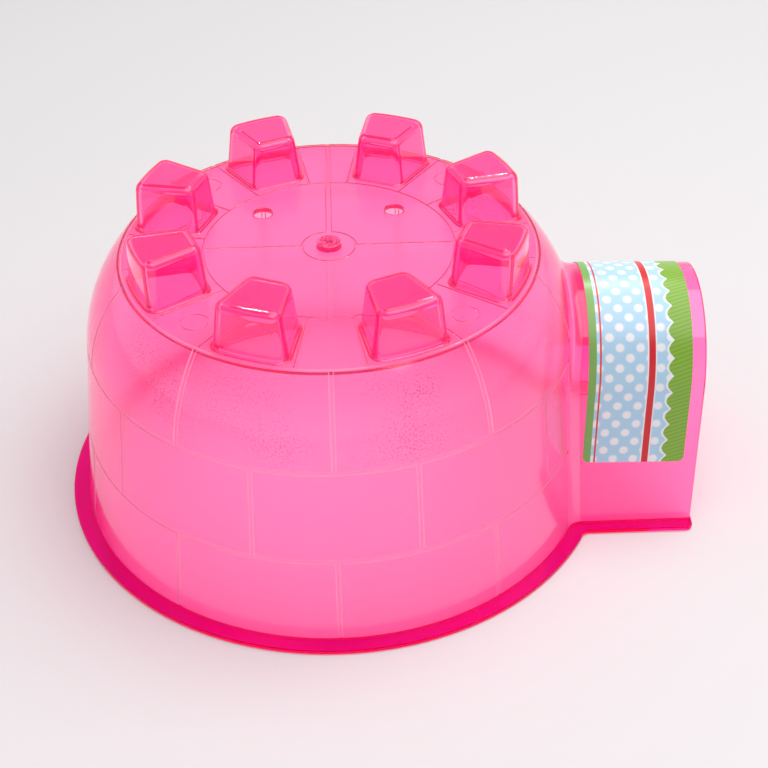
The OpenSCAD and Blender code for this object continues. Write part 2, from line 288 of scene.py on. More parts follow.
# %% Cutters for the roof lines
LINE_W, LINE_D, LINE_FLANK, LINE_GAP, MARK_W, MARK_D = 1.0, 0.25, 0.3, 0.5, 0.8, 0.15
fine_section = groove_section(LINE_W, LINE_D, LINE_FLANK)
band_section = groove_section(CROSS_W, LINE_D, LINE_FLANK)
mark_section = groove_section(MARK_W, MARK_D, LINE_FLANK)


def roof_groove(r0, r1, section):
    """Straight along the roof, outwards at y = 0."""
    return swept([(r0, 0, ROOF_Z), (r1, 0, ROOF_Z)], [(0, 0, 1)] * 2, [(0, 1, 0)] * 2, *section)


line_rings = [ring_groove(r, ROOF_Z, math.pi / 2, fine_section, columns=240) for r in (DISC_R, EYE_R)]
pad_line = roof_groove(DISC_R + LINE_GAP, ROOF_R - 2 * ROOF_JOINT_R, fine_section)
cross_band = roof_groove(EYE_R, DISC_R, band_section)
pin_mark = ring_groove(MARK_R, ROOF_Z, math.pi / 2, mark_section, columns=64)
print("roof lines:", len(line_rings), "rings,", 2 * BLOCKS, "pad lines,", BANDS, "bands and pin marks")

# %% [markdown]
# ## Roof blocks
# Each of the eight battlements is a hollow wedge: rounded corners in plan,
# sides that draw in a little towards the top, a soft top edge and a small flare
# where it rises from the roof. Its plan is worked out at each height, so the
# same function gives the outside and, moved in by the wall, the hollow.


# %% One block and its hollow
def block_plan(z, inset, steps=10):
    """Plan points and directions of a block at height z above the roof, anticlockwise."""
    slope = math.atan2(BLOCK_OUT_W - BLOCK_IN_W, BLOCK_OUT_R - BLOCK_IN_R)
    side_in = BLOCK_OUT_W - (BLOCK_OUT_R - BLOCK_TOP_OUT_R) * math.tan(slope) - BLOCK_TOP_W
    u0 = BLOCK_IN_R + z * (BLOCK_TOP_IN_R - BLOCK_IN_R) / BLOCK_H + inset
    u1 = BLOCK_OUT_R - z * (BLOCK_OUT_R - BLOCK_TOP_OUT_R) / BLOCK_H - inset
    r = BLOCK_CORNER_R - inset
    side = (BLOCK_OUT_W - BLOCK_OUT_R * math.tan(slope) - side_in * z / BLOCK_H) * math.cos(slope) - inset
    turn = slope + math.asin((side - r) / (u1 - r))
    square = math.pi / 2 + slope
    half = arc_of(0, 0, u1, 0, turn, steps)
    half += arc_of((u1 - r) * math.cos(turn), (u1 - r) * math.sin(turn), r, turn, square, steps)[1:]
    half += arc_of(u0 + r, (side - r) / math.cos(slope) + (u0 + r) * math.tan(slope), r, square, math.pi,
                   steps)
    return as_arrays(half + mirrored(half[1:]))


def block_stack(levels):
    """Rings through levels of (height, inset, rise, draw-in), with directions square to the wall."""
    nudge = 1e-4
    rings, sees = [], []
    for height, inset, rise, draw in levels:
        plan, ways = block_plan(height, inset)
        later, _ = block_plan(height + nudge * rise, inset + nudge * draw)
        drift = ((later - plan) * ways).sum(1) / nudge
        way = np.column_stack([ways * rise, -drift])
        sees.append(way / np.linalg.norm(way, axis=1)[:, None])
        rings.append(np.column_stack([plan, np.full(len(plan), ROOF_Z + height)]))
    return Solid(rings, sees, sees, skin=BLOCK)


def rounded_levels(foot_z, foot_inset, flare, top_z, edge, steps=8):
    """Levels of a wall that flares out at its foot and rounds in at its top."""
    levels = [(foot_z - 1.0, foot_inset - flare, 1.0, 0.0)]
    for a in np.linspace(0, math.pi / 2, steps)[:-1]:
        levels.append((foot_z + flare * (1 - math.cos(a)) - 2 * TUCK, foot_inset + flare * (math.sin(a) - 1),
                       math.sin(a), math.cos(a)))
    levels.append((foot_z + flare, foot_inset, 1.0, 0.0))
    for a in np.linspace(0, math.pi / 2, steps + 1):
        levels.append((top_z - edge + edge * math.sin(a), foot_inset + edge * (1 - math.cos(a)),
                       math.cos(a), math.sin(a)))
    return levels


block_outside = block_stack(rounded_levels(0.0, 0.0, BLOCK_FLARE_R, BLOCK_H, BLOCK_EDGE_R))
block_inside = block_stack(rounded_levels(-WALL_T, WALL_T, 0.6, BLOCK_H - WALL_T, BLOCK_EDGE_R - WALL_T))
print("corners in a block's plan:", len(block_plan(0, 0)[0]))

# %% [markdown]
# ## The tunnel and its root
# The arch is a half round on straight sides that lean in. It is made in its own
# frame, pitched down to the mouth. Where it meets the dome, the moulding has a
# hollow blend. That is the path of a ball rolled along the corner: at each place
# round the arch the ball's middle is found by halving, and the blend is the arc
# between the two places where the ball touches. The wall keeps its thickness
# because the inside blend uses the same middles with a bigger ball.


# %% Tunnel walls
def arch_section(grow, low=-BELOW, crown_steps=120, shares=(0.0,)):
    """(y, z) points and directions round the tunnel, seen from the mouth, anticlockwise. shares are
    the places of rows on the straight side, from 0 at its foot up to 1 where the arch begins."""
    r = ARCH_R + grow
    lean = (math.cos(ARCH_LEAN), math.sin(ARCH_LEAN))
    foot = ARCH_FOOT + grow / lean[0] - low * math.tan(ARCH_LEAN)
    spring = (r * lean[0], ARCH_Z + r * lean[1])
    right = [((foot + (spring[0] - foot) * t, low + (spring[1] - low) * t), lean) for t in shares]
    crown = arc_of(0, ARCH_Z, r, ARCH_LEAN, math.pi - ARCH_LEAN, crown_steps)
    return as_arrays(right + crown + mirrored(right, SIDEWAYS))


def from_tunnel(points, is_way=False):
    """Tunnel frame to the dome's frame."""
    points = np.asarray(points, float)
    c, s = math.cos(PITCH), math.sin(PITCH)
    x, y, z = points[..., 0], points[..., 1], points[..., 2]
    shift = 0.0 if is_way else MOUTH_X
    return np.stack([c * x + s * z + shift, y, -s * x + c * z], -1)


def tunnel_solid(levels):
    """levels: (x, grow, how much the wall faces forwards)."""
    rings, sees = [], []
    for x, grow, front in levels:
        points, ways = arch_section(grow)
        keep = math.sqrt(1 - front * front)
        rings.append(from_tunnel([(x, y, z) for y, z in points]))
        sees.append(from_tunnel([(front, keep * dy, keep * dz) for dy, dz in ways], True))
    return Solid(rings, sees, sees, skin=TUNNEL)


LIP_R, LIP_STEPS, BACK_X = 0.5, 7, -0.6 * REACH


def lip_levels(grow, side):
    """Levels out to the mouth's rounded edge, for the outside (side 1) or the inside (side -1)."""
    return [(BACK_X, grow, 0)] + [
        (LIP_R * (math.sin(a) - 1), grow + side * LIP_R * (math.cos(a) - 1), side * math.sin(a))
        for a in np.linspace(0, math.pi / 2, LIP_STEPS)]


tunnel_outside = tunnel_solid(lip_levels(0, 1))
tunnel_inside = tunnel_solid(lip_levels(-WALL_T, -1) + [(BELOW, LIP_R - WALL_T, 0)])
print("tunnel mouth at x =", round(MOUTH_X, 2), "mm")


# %% The rolled blend at the tunnel's root
def dome_gap(point):
    """Distance outside the dome's wall, and the way that the wall faces there."""
    r = math.hypot(point[0], point[1])
    around = np.array([point[0] / r, point[1] / r, 0.0])
    over = (point[2] - ARC_Z) * math.cos(DRAFT) - (r - ARC_X) * math.sin(DRAFT) > 0
    if over:
        dr, dz = r - ARC_X, point[2] - ARC_Z
        size = math.hypot(dr, dz)
        return size - ARC_R, around * dr / size + np.array([0, 0, dz / size])
    side = (r - FOOT_R) * math.cos(DRAFT) + point[2] * math.sin(DRAFT)
    return side, around * math.cos(DRAFT) + np.array([0, 0, math.sin(DRAFT)])


# where the search for a ball's middle runs, how far the blend's edges sink in, and its back's depth
SEARCH_FROM, SEARCH_TO, HALVINGS, EDGE_SINK, BACK_SINK, CORNER_SINK = -20.0, -90.0, 50, 0.008, 0.8, 1.2


def root_blend(ball, steps=10):
    """The filled corner between tunnel and dome under a rolling ball."""
    points, ways = arch_section(0.0, low=-BELOW / 2, crown_steps=180, shares=np.linspace(0, 1, 12)[:-1])
    off = ROOT_R - EDGE_SINK
    axis = from_tunnel((1.0, 0.0, 0.0), True)
    rings, sees = [], []
    for (y, z), (dy, dz) in zip(points, ways):
        arch_way = from_tunnel((0.0, dy, dz), True)
        base = from_tunnel((0.0, y, z)) + off * arch_way
        near, far = SEARCH_FROM, SEARCH_TO
        for _ in range(HALVINGS):
            middle = (near + far) / 2
            if dome_gap(base + middle * axis)[0] > off:
                near = middle
            else:
                far = middle
        centre = base + near * axis
        wall_way = dome_gap(centre)[1]
        between = math.acos(float(arch_way @ wall_way))
        arc = [(math.sin((1 - t) * between) * arch_way + math.sin(t * between) * wall_way) / math.sin(between)
               for t in np.linspace(0, 1, steps + 1)]
        corner = arch_way + wall_way
        corner /= np.linalg.norm(corner)
        low, deep = ball + BACK_SINK, ball / math.cos(between / 2) + CORNER_SINK
        back = [centre - low * wall_way, centre - deep * corner, centre - low * arch_way]
        rings.append([centre - ball * way for way in arc] + back)
        sees.append(arc + [wall_way, corner, arch_way])
    return Solid(rings, sees, sees)


root_outside = root_blend(ROOT_R)
root_inside = root_blend(ROOT_R + WALL_T)
print("blend radius outside and inside:", ROOT_R, ROOT_R + WALL_T, "mm")

# %% [markdown]
# ## Rim, moulding gate and air holes
# The rim is a thin plate whose outline joins a circle, two hollow crooks and the
# straight tunnel sides. The gate is the stub where the plastic flowed in and
# was twisted off, so its top is torn. The two air holes are plain drilled-looking
# rounds with a slightly broken edge.


# %% Rim outline
def rim_outline(inset):
    """(x, y) points and directions of the rim, anticlockwise."""
    crook = RIM_CROOK_R - TUCK
    centre_x = math.sqrt((RIM_R + crook) ** 2 - (RIM_SIDE + crook) ** 2)
    centre_y = RIM_SIDE + crook
    meet = math.atan2(centre_y, centre_x)
    far = MOUTH_X + RIM_LEAD
    half = arc_of(far - RIM_CORNER_R, RIM_SIDE - RIM_CORNER_R, RIM_CORNER_R - inset, 0, math.pi / 2, 8)
    hollow = arc_of(centre_x, centre_y, RIM_CROOK_R + inset, -math.pi / 2, meet - math.pi, 12)
    half += [(p, (-w[0], -w[1])) for p, w in hollow]
    half += arc_of(0, 0, RIM_R - inset, meet, math.pi, 150)[1:]
    return as_arrays(half + mirrored(half[:-1]))


RIM_EDGE_R, RIM_EDGE_STEPS = 0.45, 6
rings, sees = [], []
for start, z in ((-math.pi / 2, RIM_EDGE_R), (0.0, RIM_T - RIM_EDGE_R)):
    for a in np.linspace(start, start + math.pi / 2, RIM_EDGE_STEPS):
        plan, ways = rim_outline(RIM_EDGE_R * (1 - math.cos(a)))
        rings.append(np.column_stack([plan, np.full(len(plan), z + RIM_EDGE_R * math.sin(a))]))
        sees.append(np.column_stack([ways * math.cos(a), np.full(len(plan), math.sin(a))]))
# the rounding along the underside's edge takes the clear edge plastic, whose pale colour is a painted
# highlight: it shows as a pale outline
rim_skins = [[EDGE if 0 < k < RIM_EDGE_STEPS - 1 else RIM] for k in range(len(rings) - 1)]
rim = Solid(rings, sees, sees, skin=rim_skins)
print("rim outline corners:", len(plan))

# %% Gate stub and air-hole cutter
rng = random.Random(7)
GATE_COLUMNS, TORN_RINGS, TORN_R, TORN_Z = 72, 12, GATE_R - 0.1, GATE_H - 0.3
# the stub's own wall, with a small hollow at its foot
stub_line = ((GATE_R + 0.5, -1.0), (GATE_R + 0.5, 0.0), (GATE_R + 0.15, 0.12), (GATE_R, 0.5),
             (TORN_R, TORN_Z))
stub_ways = [((1, 0), (1, 0)), ((1, 0), (0, 1)), ((0.4, 0.92), (0.92, 0.4)), ((1, 0), (1, 0)),
             ((1, 0), (1, 0))]
gate = turned([(r, ROOF_Z + z) for r, z in stub_line], stub_ways, GATE_COLUMNS)
# the torn top: rings that shrink to the middle, each corner at its own height
TORN_LOW, TORN_HIGH, TORN_MIDDLE = -0.28, 0.3, 0.6
angle = np.linspace(0, TAU, GATE_COLUMNS, endpoint=False)
rings = []
for k in range(TORN_RINGS + 1):
    r = TORN_R * (1 - k / (TORN_RINGS + TORN_MIDDLE))
    lift = [TORN_Z + (0.0 if k == 0 else rng.uniform(TORN_LOW, TORN_HIGH)) for _ in angle]
    rings.append([(r * math.cos(a), r * math.sin(a), ROOF_Z + z) for a, z in zip(angle, lift)])
rings.insert(0, [(x, y, z - 1.0) for x, y, z in rings[0]])
out = np.stack([np.cos(angle), np.sin(angle), 0 * angle], -1)
flat = np.tile((0.0, 0.0, 1.0), (GATE_COLUMNS, 1))
torn = Solid(rings, [out] + [flat] * (TORN_RINGS + 1), [out, out] + [flat] * TORN_RINGS, skin=TORN)

VENT_EDGE, VENT_COLUMNS, VENT_ANGLES = 0.35, 64, (math.radians(45), math.radians(135))
rise, slope = (0.7, 0.7), (math.sqrt(0.5), -math.sqrt(0.5))
profile = [(VENT_R + VENT_EDGE + 1, ROOF_Z - WALL_T - 1), (VENT_R, ROOF_Z - WALL_T + VENT_EDGE),
           (VENT_R, ROOF_Z - VENT_EDGE), (VENT_R + VENT_EDGE + 1, ROOF_Z + 1)]
ways = [(rise, rise), (rise, (1, 0)), ((1, 0), slope), (slope, slope)]
places = [(VENT_PLACE_R * math.cos(a), VENT_PLACE_R * math.sin(a)) for a in VENT_ANGLES]
vent_cut = [turned(profile, ways, VENT_COLUMNS, centre=place) for place in places]
print("gate stub and", len(vent_cut), "air holes")

# %% [markdown]
# ## Putting the moulding together
# A geometry tree does what the mould does. It repeats the single joint, block
# and line round the dome, cuts the joints from the dome, adds rim, tunnel, blend,
# blocks and gate, and cuts the hollow. The exact directions in `soft` have to
# turn with each repeat, because a tree turns places but not plain attributes.


# %% Tree helper
def add_node(tree, kind, inputs=(), **settings):
    """Adds a node. settings are its own properties. inputs pairs each socket with a value, an output, a
    node that stands for its first output, or a list of them."""
    node = tree.nodes.new(kind)
    for name, value in settings.items():
        setattr(node, name, value)
    for socket, value in dict(inputs).items():
        for one in value if isinstance(value, list) else [value]:
            one = one.outputs[0] if isinstance(one, bpy.types.Node) else one
            if isinstance(one, bpy.types.NodeSocket):
                tree.links.new(one, node.inputs[socket])
            else:
                node.inputs[socket].default_value = one
    return node


def new_tree(name, sockets):
    """A geometry tree with a mesh output, and the outputs of its named inputs."""
    tree = bpy.data.node_groups.new(name, "GeometryNodeTree")
    tree.interface.new_socket("Geometry", in_out="OUTPUT", socket_type="NodeSocketGeometry")
    for label, kind in sockets.items():
        tree.interface.new_socket(label, in_out="INPUT", socket_type="NodeSocket" + kind)
    return tree, add_node(tree, "NodeGroupInput").outputs


print("tree helper ready")

# %% Tree that repeats a shape round the dome
round_tree, given = new_tree(
    "repeat_round_the_dome", {"Geometry": "Geometry", "Count": "Int", "Start": "Float"})
spots = add_node(round_tree, "GeometryNodePoints", {"Count": given["Count"]})
number = add_node(round_tree, "GeometryNodeInputIndex")
share = add_node(round_tree, "ShaderNodeMath", {0: TAU, 1: given["Count"]}, operation="DIVIDE")
place = add_node(round_tree, "ShaderNodeMath", {0: number, 1: share, 2: given["Start"]},
                 operation="MULTIPLY_ADD")
turn = add_node(round_tree, "ShaderNodeCombineXYZ", {"Z": place})
copies = add_node(round_tree, "GeometryNodeInstanceOnPoints",
                  {"Points": spots, "Instance": given["Geometry"], "Rotation": turn})
noted = add_node(round_tree, "GeometryNodeStoreNamedAttribute",
                 {"Geometry": copies, "Name": "turn", "Value": place}, data_type="FLOAT", domain="INSTANCE")
real = add_node(round_tree, "GeometryNodeRealizeInstances", {"Geometry": noted})
old_way = add_node(round_tree, "GeometryNodeInputNamedAttribute", {"Name": "soft"}, data_type="FLOAT_VECTOR")
by = add_node(round_tree, "GeometryNodeInputNamedAttribute", {"Name": "turn"}, data_type="FLOAT")
new_way = add_node(round_tree, "ShaderNodeVectorRotate", {"Vector": old_way, "Angle": by},
                   rotation_type="Z_AXIS")
kept = add_node(round_tree, "GeometryNodeStoreNamedAttribute",
                {"Geometry": real, "Name": "soft", "Value": new_way},
                data_type="FLOAT_VECTOR", domain="CORNER")
add_node(round_tree, "NodeGroupOutput", {0: kept})
print("repeat tree nodes:", len(round_tree.nodes))

# %% [markdown]
# The main tree reads each single solid from an object. Booleans run with the
# manifold solver, which is exact about closed solids and takes a fraction of a
# second, where lathe and extrude modifiers in a long stack would take far longer
# and leave no say over the order of cuts.

# %% Tree of the whole moulding
# in the order of the numbers WALL to TUNNEL
SKINS = [zone + " plastic" for zone in ("Wall", "Torn", "Rim", "Block", "Edge", "Tunnel")]
CUT = {"operation": "DIFFERENCE", "solver": "MANIFOLD"}
JOIN = {"operation": "UNION", "solver": "MANIFOLD"}
shell_tree, given = new_tree("mould_igloo_shell", {
    "Stones": "Int", "Blocks": "Int", "Bands": "Int", "Line half angle": "Float",
    "Shift to origin": "Vector", "Millimetre": "Float", **dict.fromkeys(SKINS, "Material")})
parts_for_tree = []


def read_solid(solid):
    """The output of a node that hands one solid to the tree."""
    parts_for_tree.append(solid.mesh_object("operand"))
    return add_node(shell_tree, "GeometryNodeObjectInfo", {"Object": parts_for_tree[-1]}).outputs["Geometry"]


def repeat(shape, count, start):
    """The shape count times round the dome, the first one turned by start."""
    return add_node(shell_tree, "GeometryNodeGroup", {"Geometry": shape, "Count": count, "Start": start},
                    node_tree=round_tree)


def half_pitch(count):
    """Half of the angle between repeats."""
    return add_node(shell_tree, "ShaderNodeMath", {0: math.pi, 1: count}, operation="DIVIDE")


stones, blocks, bands = (given[label] for label in ("Stones", "Blocks", "Bands"))
half_stone, half_block = half_pitch(stones), half_pitch(blocks)
cutters = [read_solid(ring) for ring in level_joints + line_rings]
for bar, start in ((low_joint, half_stone), (high_joint, 0.0), (shoulder_joint, half_stone)):
    cutters.append(repeat(read_solid(bar), stones, start))
line = read_solid(pad_line)
for side in ("ADD", "SUBTRACT"):
    start = add_node(shell_tree, "ShaderNodeMath", {0: half_block, 1: given["Line half angle"]},
                     operation=side)
    cutters.append(repeat(line, blocks, start))
cutters.append(repeat(read_solid(cross_band), bands, 0.0))
mark = add_node(shell_tree, "GeometryNodeTransform",
                {"Geometry": read_solid(pin_mark), "Translation": (MARK_PLACE_R, 0, 0)})
cutters.append(repeat(mark, bands, half_pitch(bands)))

corners = [(1, 1), (-1, 1), (-1, -1), (1, -1)]
slab = [[(2 * REACH * x, 2 * REACH * y, z) for x, y in corners] for z in (-4 * BELOW, 0.0)]
slab_out = [[(x, y, 0) for x, y in corners]] * 2
floor_slab = Solid(slab, slab_out, slab_out)

lined_dome = add_node(shell_tree, "GeometryNodeMeshBoolean",
                      {"Mesh 1": read_solid(dome_outside), "Mesh 2": cutters}, **CUT)
stub = add_node(shell_tree, "GeometryNodeMeshBoolean",
                {"Mesh 2": [read_solid(gate), read_solid(torn)]}, **JOIN)
outside = [lined_dome, stub, *(read_solid(s) for s in (rim, tunnel_outside, root_outside)),
           repeat(read_solid(block_outside), blocks, half_block)]
solid_igloo = add_node(shell_tree, "GeometryNodeMeshBoolean", {"Mesh 2": outside}, **JOIN)
hollows = [*(read_solid(s) for s in (dome_inside, tunnel_inside, root_inside, floor_slab)),
           repeat(read_solid(block_inside), blocks, half_block), *(read_solid(s) for s in vent_cut)]
hollow_igloo = add_node(shell_tree, "GeometryNodeMeshBoolean",
                        {"Mesh 1": solid_igloo, "Mesh 2": hollows}, **CUT)
scale = add_node(shell_tree, "ShaderNodeCombineXYZ", dict.fromkeys("XYZ", given["Millimetre"]))
placed = add_node(shell_tree, "GeometryNodeTransform", {
    "Geometry": hollow_igloo, "Scale": scale, "Translation": given["Shift to origin"]})
coated = add_node(shell_tree, "GeometryNodeRealizeInstances", {"Geometry": placed})
skin = add_node(shell_tree, "GeometryNodeInputNamedAttribute", {"Name": "skin"}, data_type="INT")
for number, label in enumerate(SKINS):
    chosen = add_node(shell_tree, "ShaderNodeMath", {0: skin, 1: number, 2: 0.5}, operation="COMPARE")
    coated = add_node(shell_tree, "GeometryNodeSetMaterial",
                      {"Geometry": coated, "Selection": chosen, "Material": given[label]})
add_node(shell_tree, "NodeGroupOutput", {0: coated})
print("moulding tree nodes:", len(shell_tree.nodes), "solids read:", len(parts_for_tree))

# %% [markdown]
# ## Clear pink plastic
# The shell is clear polystyrene, tinted pink through and through, moulded in a
# polished tool. What colours it is its thickness: light that passes one wall
# comes out pink, and light that passes two walls, or runs along a wall, comes
# out crimson. So the tint is an absorption inside the solid, and on the walls
# the surface adds little. Polystyrene bends light with an index of 1.59. A faint
# glow stands for the light that clear plastic pipes along itself and that a
# renderer loses after a few bounces; without it, thick edges turn black.
#
# Absorption is counted from the face where light enters to the face of the same
# material where it leaves. So each material covers both sides of its own zone:
#
# - **walls**: nearly colourless and a little rough, so that what lies far behind
#   them blurs, with settled dust on the shoulder;
# - **blocks**: smooth, and coloured more by their surface than by their depth, so
#   their edges are no darker than their faces;
# - **tunnel**: painted shade, a little deeper than the dome because less light falls behind it, with a
#   stronger painted glow;
# - **rim**: lies on the floor, so its light goes through it twice: that crimson is painted into its colour,
#   and its reflections are painted pink;
# - **edges**: the joints' flanks and the rim's lower edge are so thin that they have no tint inside; their
#   pale, slightly rough colour is a painted highlight that draws them as thin light lines;
# - **torn gate**: rough broken plastic, which scatters the light it lets in.

# %% Colours and the plastic
def linear(hex_colour):
    """An sRGB hex colour as the linear numbers that a shader wants."""
    parts = [int(hex_colour[i:i + 2], 16) / 255 for i in (1, 3, 5)]
    return (*(c / 12.92 if c <= 0.04045 else ((c + 0.055) / 1.055) ** 2.4 for c in parts), 1.0)


def new_material(name):
    """An empty node material and its tree."""
    material = bpy.data.materials.new(name)
    material.use_nodes = True
    material.node_tree.nodes.clear()
    return material, material.node_tree


IOR, TINT_DENSITY, TINT_HEX, GLOW_HEX = 1.59, 252.0, "#ff09e0", "#ff0078"
SWIRL_SIZE, SWIRL_DEPTH = 9.0, 0.3
SPECK_PITCH, SPECK_END, SPECK_CORE, SPECK_HEX = 0.9, 0.3, 0.2, "#a0285c"
DRIFT_SIZE, DRIFT_NONE, DRIFT_FULL = 30.0, 0.38, 0.7
# two heights in mm, with the least and with the full dust, and how much the least is
DUST_FADES = (SHOULDER_Z - 4, SHOULDER_Z + 6, 0.08), (ROOF_Z - 0.2, ROOF_Z - 6, 0.05)


def dusty_colour(tree, where, body_hex):
    """The body colour with fine dark dust specks, in drifts on the shoulder where dust settles."""
    specks = add_node(tree, "ShaderNodeTexVoronoi", {"Vector": where, "Scale": 1 / (SPECK_PITCH * MM)})
    speck = add_node(tree, "ShaderNodeMapRange", {0: specks, 1: SPECK_END, 2: SPECK_CORE})
    drifts = add_node(tree, "ShaderNodeTexNoise",
                      {"Vector": where, "Scale": 1 / (DRIFT_SIZE * MM), "Detail": 1.0})
    amount = add_node(tree, "ShaderNodeMapRange", {0: drifts, 1: DRIFT_NONE, 2: DRIFT_FULL})
    height = add_node(tree, "ShaderNodeSeparateXYZ", {"Vector": where}).outputs["Z"]
    parts = [add_node(tree, "ShaderNodeMapRange", {0: height, 1: none * MM, 2: full * MM, 3: least})
             for none, full, least in DUST_FADES]
    for part in [*parts, speck]:
        amount = add_node(tree, "ShaderNodeMath", {0: amount, 1: part}, operation="MULTIPLY")
    return add_node(tree, "ShaderNodeMix", {0: amount, 6: linear(body_hex), 7: linear(SPECK_HEX)},
                    data_type="RGBA").outputs[2]


def pink_plastic(name, body_hex, roughness=0.03, wave=0.05, clarity=0.97, glow=0.1, gloss_hex="#ffffff",
                 dusty=False, density=TINT_DENSITY):
    """Clear pink plastic. wave is the strength of its flow marks, clarity how little it scatters,
    gloss_hex a tint painted onto what its surface mirrors, and density how strongly its depth colours."""
    material, tree = new_material(name)
    where = add_node(tree, "ShaderNodeTexCoord").outputs["Object"]
    swirl = add_node(tree, "ShaderNodeTexNoise",
                     {"Vector": where, "Scale": 1 / (SWIRL_SIZE * MM), "Detail": 2.0, "Roughness": 0.4})
    flow = add_node(tree, "ShaderNodeBump",
                    {"Height": swirl, "Strength": wave, "Distance": SWIRL_DEPTH * MM})
    colour = dusty_colour(tree, where, body_hex) if dusty else linear(body_hex)
    gloss = add_node(tree, "ShaderNodeBsdfPrincipled",
                     {"Base Color": colour, "Roughness": roughness, "IOR": IOR,
                      "Transmission Weight": clarity, "Normal": flow,
                      "Specular Tint": linear(gloss_hex),
                      "Emission Color": linear(GLOW_HEX), "Emission Strength": glow})
    layers = {"Surface": gloss}
    if density:
        layers["Volume"] = add_node(tree, "ShaderNodeVolumeAbsorption",
                                    {"Color": linear(TINT_HEX), "Density": density})
    add_node(tree, "ShaderNodeOutputMaterial", layers)
    return material


plastics = {
    "Wall plastic": pink_plastic("clear_pink_polystyrene_moulded", "#fff0f1", roughness=0.12, dusty=True),
    "Torn plastic": pink_plastic("clear_pink_polystyrene_torn", "#e8207a", roughness=0.35, wave=0.6,
                                 clarity=0.6, glow=0.05),
    # painted shade and reflection: crimson for the light that passes the rim twice, and pink-tinted
    # reflections
    "Rim plastic": pink_plastic("clear_pink_polystyrene_rim", "#fa34c4", glow=0.04, gloss_hex="#ff2080"),
    "Block plastic": pink_plastic("clear_pink_polystyrene_blocks", "#ff9fcc", roughness=0.02, glow=0.14,
                                  density=50.0),
    # painted highlight: a pale, partly diffuse colour that draws thin edges as light lines
    "Edge plastic": pink_plastic("clear_pink_polystyrene_edges", "#ffd8e6", roughness=0.3, clarity=0.8,
                                 density=0.0),
    # painted shade: deeper than the wall for the lesser light behind the tunnel, with a stronger painted glow
    "Tunnel plastic": pink_plastic("clear_pink_polystyrene_tunnel", "#ffb0d8", glow=0.14)}
print("one wall passes:",
      [round(math.exp(-TINT_DENSITY * WALL_T * MM * (1 - c)), 2) for c in linear(TINT_HEX)[:3]])

# %% [markdown]
# ## Turn the tree into a plain mesh
# The tree sits on an empty holder as a modifier. Its inputs are set by their
# identifiers before anything looks at the holder. The finished mesh is taken out
# with `new_from_object`, its exact directions become its custom normals, and
# the single solids are thrown away.


# %% Run the tree
def read_numbers(items, field, width, kind=float):
    """A mesh layer as an array."""
    values = np.empty(len(items) * width, dtype=kind)
    items.foreach_get(field, values)
    return values.reshape(-1, width) if width > 1 else values


def finished_mesh(name, tree, values):
    """The mesh that a tree makes from these inputs."""
    holder = add_object("holder", bpy.data.meshes.new("holder"))
    modifier = holder.modifiers.new("tree", "NODES")
    modifier.node_group = tree
    for item in tree.interface.items_tree:
        if item.in_out == "INPUT":
            modifier[item.identifier] = values[item.name]
    seen = holder.evaluated_get(bpy.context.evaluated_depsgraph_get())
    mesh = bpy.data.meshes.new_from_object(seen)
    mesh.name = name
    bpy.data.objects.remove(holder)
    # the solids came in bare, which leaves an empty material slot
    slots = list(mesh.materials)
    kept = [slot for slot in slots if slot]
    numbers = [kept.index(slots[n]) for n in read_numbers(mesh.polygons, "material_index", 1, np.int32)]
    mesh.materials.clear()
    for slot in kept:
        mesh.materials.append(slot)
    mesh.polygons.foreach_set("material_index", numbers)
    return mesh


def set_exact_normals(mesh):
    """Custom normals from soft, turned outwards on faces that a cutter left."""
    soft = read_numbers(mesh.attributes["soft"].data, "vector", 3)
    size = np.linalg.norm(soft, axis=1)[:, None]
    totals = read_numbers(mesh.polygons, "loop_total", 1, np.int32)
    face_of = np.repeat(np.arange(len(totals)), totals)
    flat = read_numbers(mesh.polygons, "normal", 3)[face_of]
    soft = np.where(size > 0.1, soft / np.maximum(size, 1e-9), flat)
    facing = (soft * flat).sum(1)
    soft[facing < 0] *= -1
    torn_face = read_numbers(mesh.attributes["skin"].data, "value", 1, np.int32)[face_of] == TORN
    stray = (np.abs(facing) < 0.3) | torn_face
    soft[stray] = flat[stray]
    mesh.shade_smooth()
    mesh.normals_split_custom_set(soft.tolist())
    for layer in ("soft", "turn", "skin"):
        if layer in mesh.attributes:
            mesh.attributes.remove(mesh.attributes[layer])
    return int(stray.sum())


shell_mesh = finished_mesh("igloo_moulding", shell_tree, {
    "Stones": STONES, "Blocks": BLOCKS, "Bands": BANDS, "Line half angle": math.radians(BLOCK_LINE_A),
    "Shift to origin": (DOME_X * MM, 0.0, 0.0), "Millimetre": MM, **plastics})
strays = set_exact_normals(shell_mesh)
for thing in parts_for_tree:
    # an object goes with its mesh
    bpy.data.meshes.remove(thing.data)
edge_use = Counter(key for face in shell_mesh.polygons for key in face.edge_keys)
print("faces:", len(shell_mesh.polygons), "open edges:", sum(n != 2 for n in edge_use.values()),
      "corners without an exact direction:", strays, "of", len(shell_mesh.loops))

# %% [markdown]
# The plain mesh now goes into an object that replaces the CAD shell.

# %% The shell as a piece
moulding = add_object("igloo_moulding", shell_mesh)
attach(moulding, "root")
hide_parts("igloo_shell")
print("faces in each slot:", Counter(
    shell_mesh.materials[face.material_index].name for face in shell_mesh.polygons))

# %% [markdown]
# ## The label
# A printed paper label, laminated for gloss, is wrapped over the tunnel near its
# mouth. It is a thin closed sheet that follows the arch, with rounded corners.
# Its UV map is laid out in millimetres along the tunnel and round the arch, so
# the print's sizes are real ones.


